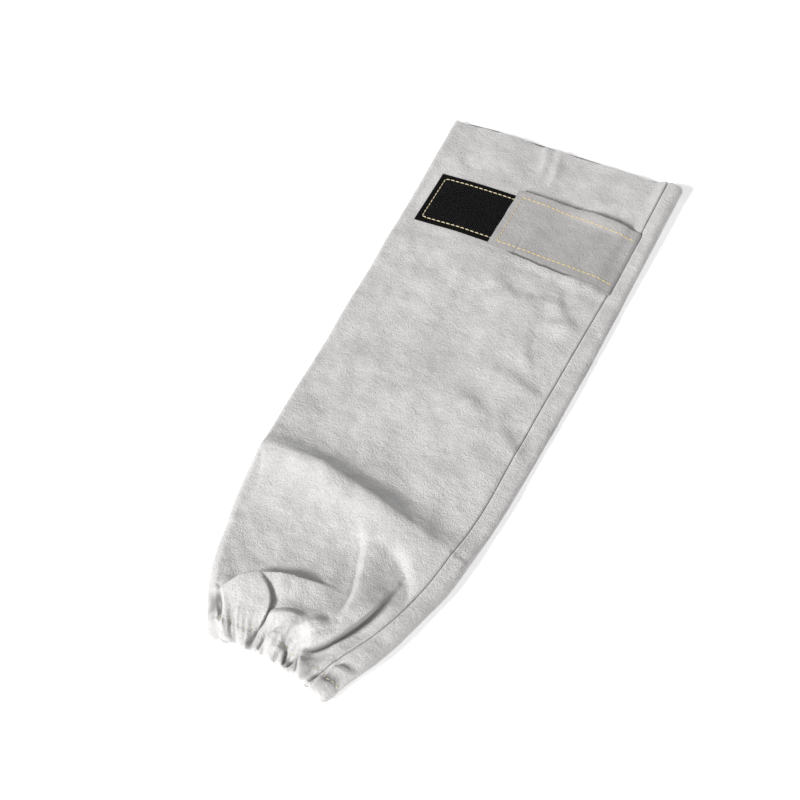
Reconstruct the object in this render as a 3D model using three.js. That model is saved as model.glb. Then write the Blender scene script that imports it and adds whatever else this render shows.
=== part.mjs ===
import * as THREE from 'three';

// A welder's split-leather sleeve lying on its back, cuff toward -Y and upper arm toward +Y.
// Its seam runs along the +X side. All lengths are millimetres and all angles radians.

// The leather tube, laid flat
const sleeve_length = 480;
const upper_width = 180;
const leather_thickness = 1.3;
const fold_radius = 3.6;
const body_height = 10;
const front_setback = 7;

// The mouth at the upper arm, where the fold and the seam stand up as a round roll
const mouth_height = 8.2;
const mouth_roll_radius = 6.2;

// The seam, a shallow valley in the front wall beside the +X fold
const seam_inset = 12.5;
const seam_height = 7.4;
const seam_lip_width = 9;
const seam_valley_width = 4.4;
const seam_valley_depth = 0.8;

// The gathered cuff at the wrist
const cuff_width = 78;
const cuff_height = 19;
const cuff_slant = 9;
const cuff_bow = 4;
const gather_count = 18;
const gather_depth = 1.5;
const gather_reach = 105;
const scallop_depth = 2.4;

// The hem: the leather turned in and sewn down over an elastic
const hem_depth = 14;
const elastic_width = 8;
const elastic_thickness = 1;

// The fastener: a tape patch on the front wall, and a strap from the seam with tape under it
const clearance = 0.35;
const patch_length = 78;
const patch_width = 50;
const patch_thickness = 1.6;
const patch_drop = 58;
const patch_inset = 12.5;
const strap_reach = 92;
const strap_width = 58;
const strap_root_width = 63;
const strap_thickness = 1.4;
const strap_drop = 2;
const strap_tape_margin = 4;
const strap_tape_thickness = 1.3;
const strap_tape_root_gap = 14;
const strap_step_down = 8;

// The creases, as the height that the strongest lifts the leather and its width
const crease_height = 6;
const crease_spread = 13;
const crease_end_share = 0.4;

// The share of the front panel over which the wall climbs from each side to its full height
const panel_ramp = 0.3;

// Sections from the cuff to the mouth. along is the share of the length, fullness the share of
// the way from the cuff's width to the upper width, lean the shift as a share of the upper
// width, inset a share of the seam inset, and puff and mouth how much of the cuff's and the
// mouth's form the section has.
const sections = [
  { along: 0.0, fullness: 0.0, lean: -0.006, inset: 1.4, puff: 1.0, mouth: 0 },
  { along: 0.03, fullness: 0.15, lean: -0.012, inset: 1.42, puff: 0.92, mouth: 0 },
  { along: 0.07, fullness: 0.34, lean: -0.012, inset: 1.38, puff: 0.78, mouth: 0 },
  { along: 0.11, fullness: 0.475, lean: -0.01, inset: 1.3, puff: 0.62, mouth: 0 },
  { along: 0.16, fullness: 0.593, lean: -0.006, inset: 1.1, puff: 0.42, mouth: 0 },
  { along: 0.2, fullness: 0.686, lean: -0.003, inset: 1.05, puff: 0.28, mouth: 0 },
  { along: 0.26, fullness: 0.76, lean: -0.002, inset: 0.92, puff: 0.16, mouth: 0 },
  { along: 0.33, fullness: 0.819, lean: 0.002, inset: 0.94, puff: 0.06, mouth: 0 },
  { along: 0.42, fullness: 0.853, lean: 0.006, inset: 1.06, puff: 0, mouth: 0 },
  { along: 0.6, fullness: 0.902, lean: 0.011, inset: 1.1, puff: 0, mouth: 0 },
  { along: 0.8, fullness: 0.948, lean: 0.007, inset: 0.95, puff: 0, mouth: 0.15 },
  { along: 1.0, fullness: 1.0, lean: 0.0, inset: 0.92, puff: 0, mouth: 1 },
];

// Creases of the front wall. path holds places as shares of the width from the left fold and
// of the length from the cuff, rise a share of the crease height, and near and far the widths
// of the slopes on the right and left of the path as shares of the crease spread.
const creases = [
  { path: [[0.0, 0.3], [0.2, 0.312], [0.55, 0.29], [0.8, 0.268], [0.93, 0.258]], rise: 0.8, near: 1.7, far: 0.85 },
  { path: [[0.2, 0.095], [0.36, 0.128], [0.6, 0.13]], rise: 0.75, near: 1.3, far: 0.5 },
  { path: [[0.54, 0.235], [0.62, 0.175], [0.64, 0.105]], rise: 0.4, near: 0.7, far: 0.8 },
  { path: [[0.58, 0.055], [0.78, 0.085], [0.9, 0.165]], rise: 0.7, near: 0.45, far: 1.1 },
  { path: [[0.12, 0.03], [0.1, 0.1]], rise: 0.45, near: 0.6, far: 0.6 },
];

// Columns of the mesh across each half of the tube: the fold, the panel, the lip that climbs to
// the seam, the two sides of its valley, the band beside it and the other fold. The gathered
// rows have twice as many.
const column_plan = { fold: 3, panel: 18, lip: 2, valley: 1, band: 2 };
const seam_columns = column_plan.lip + 2 * column_plan.valley + column_plan.band;
const half_columns = 2 * column_plan.fold + column_plan.panel + seam_columns;
const gathered_factor = 2;

// Rows of the mesh up the tube: to this share of the length, so many rows of even height
const row_plan = [
  { to: 0.002, rows: 1, gathered: true },
  { to: 0.13, rows: 7, gathered: true },
  { to: 0.35, rows: 8, gathered: false },
  { to: 0.7, rows: 3, gathered: false },
  { to: 1.0, rows: 6, gathered: false },
];

const mix = (a, b, share) => a + (b - a) * share;
const clamp = (value) => Math.min(1, Math.max(0, value));
const ease = (value) => clamp(value) ** 2 * (3 - 2 * clamp(value));
const quarter_turn = Math.PI / 2;

// The value of one column of the section table, on a smooth curve through its rows
function readSections(column, along) {
  const last = sections.length - 1;
  const found = sections.findIndex((row) => row.along > along);
  const i = found < 0 ? last - 1 : Math.max(found - 1, 0);
  const row = (k) => sections[Math.min(Math.max(k, 0), last)];
  const slope = (k) => (row(k + 1)[column] - row(k - 1)[column]) / (row(k + 1).along - row(k - 1).along);
  const span = row(i + 1).along - row(i).along;
  const t = (along - row(i).along) / span;
  const start = (1 + 2 * t) * (1 - t) ** 2 * row(i)[column] + t * (1 - t) ** 2 * span * slope(i);
  const end = t * t * (3 - 2 * t) * row(i + 1)[column] + t * t * (t - 1) * span * slope(i + 1);
  return start + end;
}

function sectionAt(along) {
  const read = (column) => readSections(column, along);
  const width = mix(cuff_width, upper_width, read('fullness'));
  const middle = upper_width * read('lean');
  const puff = clamp(read('puff'));
  const mouth = clamp(read('mouth'));
  const radius = mix(fold_radius, cuff_height / 2, puff);
  const right = middle + width / 2;
  return {
    left: middle - width / 2,
    right,
    left_radius: radius,
    right_radius: mix(radius, mouth_roll_radius, mouth),
    panel_height: mix(mix(body_height, cuff_height, puff), mouth_height, mouth),
    seam_foot: mix(seam_height, cuff_height, puff),
    seam_height: mix(mix(seam_height, cuff_height, puff), 2 * mouth_roll_radius, mouth),
    seam_x: right - seam_inset * read('inset'),
  };
}

// The front wall's height across a section, before creases and gathers
function frontHeight(section, x) {
  const panel_start = section.left + section.left_radius;
  const roll_top = section.right - section.right_radius;
  if (x > section.seam_x) {
    const share = ease((x - section.seam_x) / (roll_top - section.seam_x));
    return mix(section.seam_height, 2 * section.right_radius, share);
  }
  const share = (x - panel_start) / (section.seam_x - panel_start);
  const lip = ease(1 - (section.seam_x - x) / seam_lip_width) * (section.seam_height - section.seam_foot);
  return share < 0.5
    ? mix(2 * section.left_radius, section.panel_height, ease(share / panel_ramp))
    : mix(section.seam_foot, section.panel_height, ease((1 - share) / panel_ramp)) + lip;
}

// How far a point lies from a crease's path, signed by side, and how far along the path
function measureFromPath(path, x, y) {
  let best = { distance: Infinity, side: 1, travelled: 0 };
  path.slice(1).forEach((end, i) => {
    const start = path[i];
    const [dx, dy] = [end[0] - start[0], end[1] - start[1]];
    const t = clamp(((x - start[0]) * dx + (y - start[1]) * dy) / (dx * dx + dy * dy));
    const [ox, oy] = [x - start[0] - t * dx, y - start[1] - t * dy];
    const distance = Math.hypot(ox, oy);
    if (distance < best.distance) {
      best = { distance, side: Math.sign(dx * oy - dy * ox), travelled: (i + t) / (path.length - 1) };
    }
  });
  return best;
}

function creaseLift(section, x, along) {
  const width = section.right - section.left;
  return creases.reduce((total, crease) => {
    const path = crease.path.map(([across, up]) => [section.left + across * width, up * sleeve_length]);
    const from = measureFromPath(path, x, along * sleeve_length);
    const spread = crease_spread * (from.side < 0 ? crease.near : crease.far);
    const swell = mix(crease_end_share, 1, Math.sin(Math.PI * from.travelled));
    return total + crease_height * crease.rise * swell * Math.exp(-((from.distance / spread) ** 2));
  }, 0);
}

// The wave of the gathers round the cuff, 1 on a crest and -1 in a pleat. Two slow swings of its
// phase make the gathers uneven.
const wide_swing = 0.9;
const narrow_swing = 0.6;

function gatherWave(around) {
  const turn = 2 * Math.PI * around;
  const swing = wide_swing * Math.sin(2 * turn + 1) + narrow_swing * Math.sin(5 * turn);
  return Math.sin(gather_count * turn + swing);
}

// Where a place round the tube lies on its section: around runs from the left fold over the
// front wall to the right fold, and back under it
function placeAround(section, around) {
  const front = around <= 0.5;
  const column = (front ? around : 1 - around) * 2 * half_columns;
  const { fold, panel, lip, valley, band } = column_plan;
  const roll_top = section.right - section.right_radius;
  const valley_half = seam_valley_width / 2;
  const panel_start = section.left + section.left_radius;
  const stops = [
    { count: panel, to: section.seam_x - seam_lip_width },
    { count: lip, to: section.seam_x - valley_half },
    { count: valley, to: section.seam_x },
    { count: valley, to: section.seam_x + valley_half },
    { count: band, to: roll_top },
  ];
  if (column <= fold) {
    return { front, fold_angle: (column / fold) * quarter_turn, radius: section.left_radius, out: -1, x: panel_start };
  }
  if (column >= half_columns - fold) {
    const angle = ((half_columns - column) / fold) * quarter_turn;
    return { front, fold_angle: angle, radius: section.right_radius, out: 1, x: roll_top };
  }
  let reached = fold;
  let x = panel_start;
  for (const stop of stops) {
    if (column <= reached + stop.count) {
      x = mix(x, stop.to, (column - reached) / stop.count);
      break;
    }
    reached += stop.count;
    x = stop.to;
  }
  return { front, fold_angle: quarter_turn, x };
}

// The tube's lower and upper edge beside a place round it. The back wall's upper edge reaches
// its full length a short way in from each fold.
const setback_blend = 0.1;

function edgesAt(around) {
  const across = around <= 0.5 ? 2 * around : 2 - 2 * around;
  const from_fold = 0.25 - Math.abs(around - 0.75);
  const behind = ease(from_fold / setback_blend);
  const scallop = (scallop_depth * (1 - gatherWave(around))) / 2;
  return {
    cuff: -sleeve_length / 2 + cuff_slant * (1 - across) + cuff_bow * Math.sin(Math.PI * across) + scallop,
    mouth: sleeve_length / 2 - front_setback * (1 - behind),
  };
}

// A point of the tube's wall, at a depth below its outer face. The wall's slope is read this far
// to each side of the point.
const slope_probe = 0.5;

function wallPoint(around, along, depth) {
  const section = sectionAt(along);
  const place = placeAround(section, around);
  const edges = edgesAt(around);
  const y = mix(edges.cuff, edges.mouth, along);
  const up = Math.sin(place.fold_angle);
  const gathered = gather_depth * ease(1 - (along * sleeve_length) / gather_reach);
  const swell = gathered * (gatherWave(around) - (place.front ? 0 : up));
  if (place.out) {
    const reach = place.radius + swell - depth;
    const lift = place.front ? up * creaseLift(section, place.x, along) : 0;
    const z = place.radius + (place.front ? 1 : -1) * reach * up + lift;
    return new THREE.Vector3(place.x + place.out * reach * Math.cos(place.fold_angle), y, z);
  }
  if (!place.front) {
    return new THREE.Vector3(place.x, y, depth - swell);
  }
  const rise = frontHeight(section, place.x + slope_probe) - frontHeight(section, place.x - slope_probe);
  const normal = new THREE.Vector2(-rise, 2 * slope_probe).normalize();
  const valley = seam_valley_depth * clamp(1 - Math.abs(place.x - section.seam_x) / (seam_valley_width / 2));
  const height = frontHeight(section, place.x) + creaseLift(section, place.x, along) - valley;
  const out = swell - depth;
  return new THREE.Vector3(place.x + out * normal.x, y, height + out * normal.y);
}

// A closed body from rings of points, each joined to the next and the last to the first.
// A ring may have twice the points of its neighbour.
function bodyFromRings(rings) {
  const positions = [];
  const starts = rings.map((ring) => {
    const start = positions.length / 3;
    ring.forEach((point) => positions.push(point.x, point.y, point.z));
    return start;
  });
  const faces = [];
  rings.forEach((ring, r) => {
    const next = (r + 1) % rings.length;
    const other = rings[next];
    const coarse = Math.min(ring.length, other.length);
    const a = (i) => starts[r] + ((i * ring.length) / coarse) % ring.length;
    const b = (i) => starts[next] + ((i * other.length) / coarse) % other.length;
    for (let i = 0; i < coarse; i += 1) {
      if (ring.length === other.length) {
        faces.push([a(i), a(i + 1), b(i)], [b(i), a(i + 1), b(i + 1)]);
      } else if (ring.length > other.length) {
        faces.push([a(i), a(i) + 1, b(i)], [b(i), a(i) + 1, b(i + 1)], [a(i) + 1, a(i + 1), b(i + 1)]);
      } else {
        faces.push([a(i), b(i) + 1, b(i)], [a(i), a(i + 1), b(i) + 1], [a(i + 1), b(i + 1), b(i) + 1]);
      }
    }
  });
  return bodyFromFaces(positions, faces);
}

// A geometry whose faces point out of the body
function bodyFromFaces(positions, faces) {
  const point = (i) => new THREE.Vector3().fromArray(positions, 3 * i);
  const volume = faces.reduce((sum, [a, b, c]) => sum + point(a).dot(point(b).cross(point(c))), 0);
  const index = volume > 0 ? faces.flat() : faces.flatMap(([a, b, c]) => [a, c, b]);
  const geometry = new THREE.BufferGeometry();
  geometry.setAttribute('position', new THREE.Float32BufferAttribute(positions, 3));
  geometry.setIndex(index);
  geometry.computeVertexNormals();
  return geometry;
}

function wallRing(along, depth, gathered) {
  const count = 2 * half_columns * (gathered ? gathered_factor : 1);
  return Array.from({ length: count }, (_, i) => wallPoint(i / count, along, depth));
}

// The depth of the hem's pocket below the outer face, and of the turned-in leather's own face
const pocket_depth = elastic_thickness + 2 * clearance;
const hem_thickness = 2 * leather_thickness + pocket_depth;
const share_of_length = (distance) => distance / sleeve_length;

// The tube, with its end turned in at the cuff to make the hem that holds the elastic
function sleeveShell() {
  const rows = [];
  let from = 0;
  row_plan.forEach(({ to, rows: count, gathered }) => {
    for (let i = 0; i < count; i += 1) {
      rows.push({ along: mix(from, to, (i + 1) / count), gathered });
    }
    from = to;
  });
  const outer = rows.map((row) => wallRing(row.along, 0, row.gathered)).reverse();
  const inner_start = share_of_length(leather_thickness);
  const inner = rows
    .filter((row) => row.along > inner_start)
    .map((row) => wallRing(row.along, leather_thickness, row.gathered));
  const lip = share_of_length(hem_depth);
  const edge_round = share_of_length(leather_thickness / 3);
  const hem = [
    wallRing(0, leather_thickness, true),
    wallRing(0, hem_thickness - leather_thickness, true),
    wallRing(edge_round, hem_thickness, true),
    wallRing(lip / 2, hem_thickness, true),
    wallRing(lip, hem_thickness, true),
    wallRing(lip, hem_thickness - leather_thickness, true),
    wallRing(lip / 2, hem_thickness - leather_thickness, true),
    wallRing(inner_start, hem_thickness - leather_thickness, true),
    wallRing(inner_start, leather_thickness, true),
  ];
  return bodyFromRings([...outer, ...hem, ...inner]);
}

// The elastic inside the hem, a flat band that takes the gathers' wave
function cuffElastic() {
  const start = share_of_length(leather_thickness + clearance);
  const end = start + share_of_length(elastic_width);
  const outside = leather_thickness + clearance;
  const inside = outside + elastic_thickness;
  return bodyFromRings([
    wallRing(end, outside, true),
    wallRing(start, outside, true),
    wallRing(start, inside, true),
    wallRing(end, inside, true),
  ]);
}

// The front wall's height under a point, with the seam's narrow valley bridged
function frontUnder(x, y) {
  let along = 0.5 + y / sleeve_length;
  for (let pass = 0; pass < 3; pass += 1) {
    const section = sectionAt(along);
    const around = clamp((x - section.left) / (section.right - section.left)) / 2;
    const edges = edgesAt(around);
    along = (y - edges.cuff) / (edges.mouth - edges.cuff);
  }
  const section = sectionAt(along);
  return frontHeight(section, x) + creaseLift(section, x, along);
}

// A flat piece laid on the front wall. corner(u, v) gives its plan, and lift(x) how far its
// underside is held above the leather.
function laidSheet({ corner, lift, thickness, columns, rows }) {
  const positions = [];
  const faces = [];
  for (const height of [0, thickness]) {
    for (let j = 0; j <= rows; j += 1) {
      for (let i = 0; i <= columns; i += 1) {
        const [x, y] = corner(i / columns, j / rows);
        positions.push(x, y, frontUnder(x, y) + lift(x) + height);
      }
    }
  }
  const layer = (columns + 1) * (rows + 1);
  const at = (i, j, top) => top * layer + j * (columns + 1) + i;
  const quad = (a, b, c, d) => faces.push([a, b, c], [a, c, d]);
  for (let j = 0; j < rows; j += 1) {
    for (let i = 0; i < columns; i += 1) {
      quad(at(i, j, 1), at(i + 1, j, 1), at(i + 1, j + 1, 1), at(i, j + 1, 1));
      quad(at(i, j, 0), at(i, j + 1, 0), at(i + 1, j + 1, 0), at(i + 1, j, 0));
    }
  }
  for (let i = 0; i < columns; i += 1) {
    quad(at(i, 0, 0), at(i + 1, 0, 0), at(i + 1, 0, 1), at(i, 0, 1));
    quad(at(i + 1, rows, 0), at(i, rows, 0), at(i, rows, 1), at(i + 1, rows, 1));
  }
  for (let j = 0; j < rows; j += 1) {
    quad(at(columns, j, 0), at(columns, j + 1, 0), at(columns, j + 1, 1), at(columns, j, 1));
    quad(at(0, j + 1, 0), at(0, j, 0), at(0, j, 1), at(0, j + 1, 1));
  }
  return bodyFromFaces(positions, faces);
}

// The fastener's places, from the front wall's upper edge and its left fold
const fastener_y = sleeve_length / 2 - front_setback - patch_drop - patch_width / 2;
const fastener_section = sectionAt(0.5 + fastener_y / sleeve_length);
const patch_left = fastener_section.left + patch_inset;
const patch_right = patch_left + patch_length;
const strap_root = fastener_section.seam_x - clearance;
const strap_end = strap_root - strap_reach;
const strap_tape_right = strap_root - strap_tape_root_gap;
const strap_tape_width = strap_width - 2 * strap_tape_margin;

// The patch's thickness lifts the strap's end, and the strap's own tape lifts it nearly to the seam
const overPatch = (x) => (patch_thickness + clearance) * ease(1 - (x - patch_right) / strap_step_down);
const overTape = (x) => (strap_tape_thickness + clearance) * ease(1 - (x - strap_tape_right) / strap_step_down);

function fastenerPatch() {
  return laidSheet({
    corner: (u, v) => [mix(patch_left, patch_right, u), fastener_y + (v - 0.5) * patch_width],
    lift: () => clearance,
    thickness: patch_thickness,
    columns: 18,
    rows: 2,
  });
}

const strap_y = fastener_y - strap_drop;

function strapTape() {
  const left = strap_end + strap_tape_margin;
  return laidSheet({
    corner: (u, v) => {
      const x = mix(left, strap_tape_right, u);
      return [x, strap_y + (v - 0.5) * strap_tape_width];
    },
    lift: (x) => clearance + overPatch(x),
    thickness: strap_tape_thickness,
    columns: 18,
    rows: 2,
  });
}

function closureStrap() {
  return laidSheet({
    corner: (u, v) => {
      const x = mix(strap_end, strap_root, u);
      return [x, strap_y + (v - 0.5) * mix(strap_width, strap_root_width, u)];
    },
    lift: (x) => clearance + overPatch(x) + overTape(x),
    thickness: strap_thickness,
    columns: 24,
    rows: 4,
  });
}

const suede = () => new THREE.MeshStandardMaterial({ color: 0xc6c5c2, roughness: 0.95, metalness: 0 });
const black_tape = () => new THREE.MeshStandardMaterial({ color: 0x17171a, roughness: 0.85, metalness: 0 });
const grey_tape = () => new THREE.MeshStandardMaterial({ color: 0x2a2a2c, roughness: 0.85, metalness: 0 });
const rubber_band = () => new THREE.MeshStandardMaterial({ color: 0xe6e3dc, roughness: 0.8, metalness: 0 });

const pieces = [
  { name: 'sleeve_shell', geometry: sleeveShell(), material: suede() },
  { name: 'cuff_elastic', geometry: cuffElastic(), material: rubber_band() },
  { name: 'fastener_patch', geometry: fastenerPatch(), material: black_tape() },
  { name: 'strap_tape', geometry: strapTape(), material: grey_tape() },
  { name: 'closure_strap', geometry: closureStrap(), material: suede() },
];

const sleeve = new THREE.Group();
for (const { name, geometry, material } of pieces) {
  const mesh = new THREE.Mesh(geometry, material);
  mesh.name = name;
  sleeve.add(mesh);
}

export default sleeve;
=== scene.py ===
"""A welder's sleeve of grey split leather, lying on its back on a white studio table."""

import math

import bpy
import numpy as np
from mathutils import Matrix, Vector, noise
from mathutils.bvhtree import BVHTree


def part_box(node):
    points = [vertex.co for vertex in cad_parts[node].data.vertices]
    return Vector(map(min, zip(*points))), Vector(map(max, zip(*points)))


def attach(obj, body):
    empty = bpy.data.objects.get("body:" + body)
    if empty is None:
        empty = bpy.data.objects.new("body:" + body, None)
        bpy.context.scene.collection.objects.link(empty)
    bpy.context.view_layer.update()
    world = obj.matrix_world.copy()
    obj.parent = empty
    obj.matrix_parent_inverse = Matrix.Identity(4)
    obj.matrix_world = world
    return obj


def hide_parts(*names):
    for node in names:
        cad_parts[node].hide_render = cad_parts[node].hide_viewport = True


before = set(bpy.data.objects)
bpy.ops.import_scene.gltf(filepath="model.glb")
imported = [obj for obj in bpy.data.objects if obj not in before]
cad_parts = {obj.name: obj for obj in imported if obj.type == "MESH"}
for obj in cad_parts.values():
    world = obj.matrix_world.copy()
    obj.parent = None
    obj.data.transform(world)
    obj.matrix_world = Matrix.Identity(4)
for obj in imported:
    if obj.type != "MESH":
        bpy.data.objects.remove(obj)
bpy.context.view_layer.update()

# The sleeve's tube: one hide of split leather about 1.3 mm thick, sewn to itself along a seam
# beside the right fold and turned right side out. Its cuff end is turned in and sewn down over
# an elastic, which gathers it, and a few deep creases cross it above the gathers.
mm = 0.001
quarter_turn = math.pi / 2
shell_low, shell_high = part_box("sleeve_shell")
sleeve_length = 2 * shell_high.y
upper_width = shell_high.x - shell_low.x
leather_thickness = 1.3 * mm
fold_radius = 3.6 * mm
body_height = 10 * mm
front_setback = 7 * mm
mouth_height = 8.2 * mm
mouth_roll_radius = 6.2 * mm
seam_inset = 12.5 * mm
seam_height = 7.4 * mm
seam_lip_width = 9 * mm
cuff_width = 78 * mm
cuff_height = 19 * mm
cuff_slant = 9 * mm
cuff_bow = 4 * mm
gather_count = 18
gather_depth = 2.625 * mm
gather_reach = 105 * mm
gather_in_front = 0.55
gather_on_fold = 0.55
gather_past_seam = 0.15
scallop_depth = 2.4 * mm
pleat_notch = 0.9
mouth_ripple = 0.7 * mm
mouth_ripples = (56.52, 25.12)
hem_depth = 14 * mm
hem_thickness = 4.3 * mm
hem_stitch_drop = 10.5 * mm
hem_hold_reach = 9 * mm
hem_hold_rise = 0.35
seam_shut = 0.05
casing_swell = 0.45 * mm
stitch_pull = 0.4 * mm
pucker_count = 61
pucker_height = 0.35 * mm
panel_ramp = 0.3
setback_blend = 0.1

# Each section of the tube from cuff to mouth: how far along it is, how full its width is, how far
# its middle leans to the right, how far the seam is set in, how round the cuff puffs it, and how
# much it is like the mouth
sections = np.array([
    (0.0, 0.0, -0.006, 1.02, 1.0, 0),
    (0.03, 0.15, -0.012, 1.01, 0.92, 0),
    (0.07, 0.34, -0.012, 0.98, 0.78, 0),
    (0.11, 0.475, -0.01, 0.86, 0.62, 0),
    (0.16, 0.593, -0.006, 0.84, 0.42, 0),
    (0.2, 0.686, -0.003, 0.92, 0.28, 0),
    (0.26, 0.76, -0.002, 0.89, 0.16, 0),
    (0.33, 0.819, 0.002, 0.94, 0.06, 0),
    (0.42, 0.853, 0.006, 1.06, 0, 0),
    (0.6, 0.902, 0.011, 1.1, 0, 0),
    (0.8, 0.948, 0.007, 0.95, 0, 0.15),
    (1.0, 1.0, 0.0, 0.92, 0, 1),
])


def mix(a, b, share):
    return a + (b - a) * share


def ease(value):
    held = np.clip(value, 0, 1)
    return held * held * (3 - 2 * held)


def hill(distance, width, power=2):
    """A smooth hill: 1 at distance 0, and nearly nothing at twice its width."""
    return np.exp(-(distance / width) ** power)


def smooth_curve(places, values, at):
    """Values on a smooth curve through a table's rows."""
    rise = np.gradient(values) / np.gradient(places)
    rise[1:-1] = (values[2:] - values[:-2]) / (places[2:] - places[:-2])
    i = np.clip(np.searchsorted(places, at, side="right") - 1, 0, len(places) - 2)
    span = places[i + 1] - places[i]
    t = (at - places[i]) / span
    start = (1 + 2 * t) * (1 - t) ** 2 * values[i] + t * (1 - t) ** 2 * span * rise[i]
    end = t * t * (3 - 2 * t) * values[i + 1] + t * t * (t - 1) * span * rise[i + 1]
    return start + end


def section_at(along):
    """The main measures of the tube at a share of its length."""
    full, lean, inset, puff, mouth = (
        smooth_curve(sections[:, 0], sections[:, k], along) for k in range(1, 6)
    )
    puff, mouth = np.clip(puff, 0, 1), np.clip(mouth, 0, 1)
    width = mix(cuff_width, upper_width, full)
    middle = upper_width * lean
    radius = mix(fold_radius, cuff_height / 2, puff)
    seam_foot = mix(seam_height, cuff_height, puff)
    return {
        "left": middle - width / 2,
        "right": middle + width / 2,
        "width": width,
        "left_radius": radius,
        "right_radius": mix(radius, mouth_roll_radius, mouth),
        "panel_height": mix(mix(body_height, cuff_height, puff), mouth_height, mouth),
        "seam_foot": seam_foot,
        "seam_height": mix(seam_foot, 2 * mouth_roll_radius, mouth),
        "seam_x": middle + width / 2 - seam_inset * inset,
    }


def front_height(section, x):
    """The front wall's height across a section, before creases and gathers."""
    seam_x, seam_top, seam_foot = section["seam_x"], section["seam_height"], section["seam_foot"]
    panel_start = section["left"] + section["left_radius"]
    roll_top = section["right"] - section["right_radius"]
    band = ease((x - seam_x) / (roll_top - seam_x))
    on_band = mix(seam_top, 2 * section["right_radius"], band)
    share = (x - panel_start) / (seam_x - panel_start)
    lip = ease(1 - (seam_x - x) / seam_lip_width) * (seam_top - seam_foot)
    left_half = mix(2 * section["left_radius"], section["panel_height"], ease(share / panel_ramp))
    right_half = mix(seam_foot, section["panel_height"], ease((1 - share) / panel_ramp)) + lip
    return np.where(x > seam_x, on_band, np.where(share < 0.5, left_half, right_half))


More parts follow.
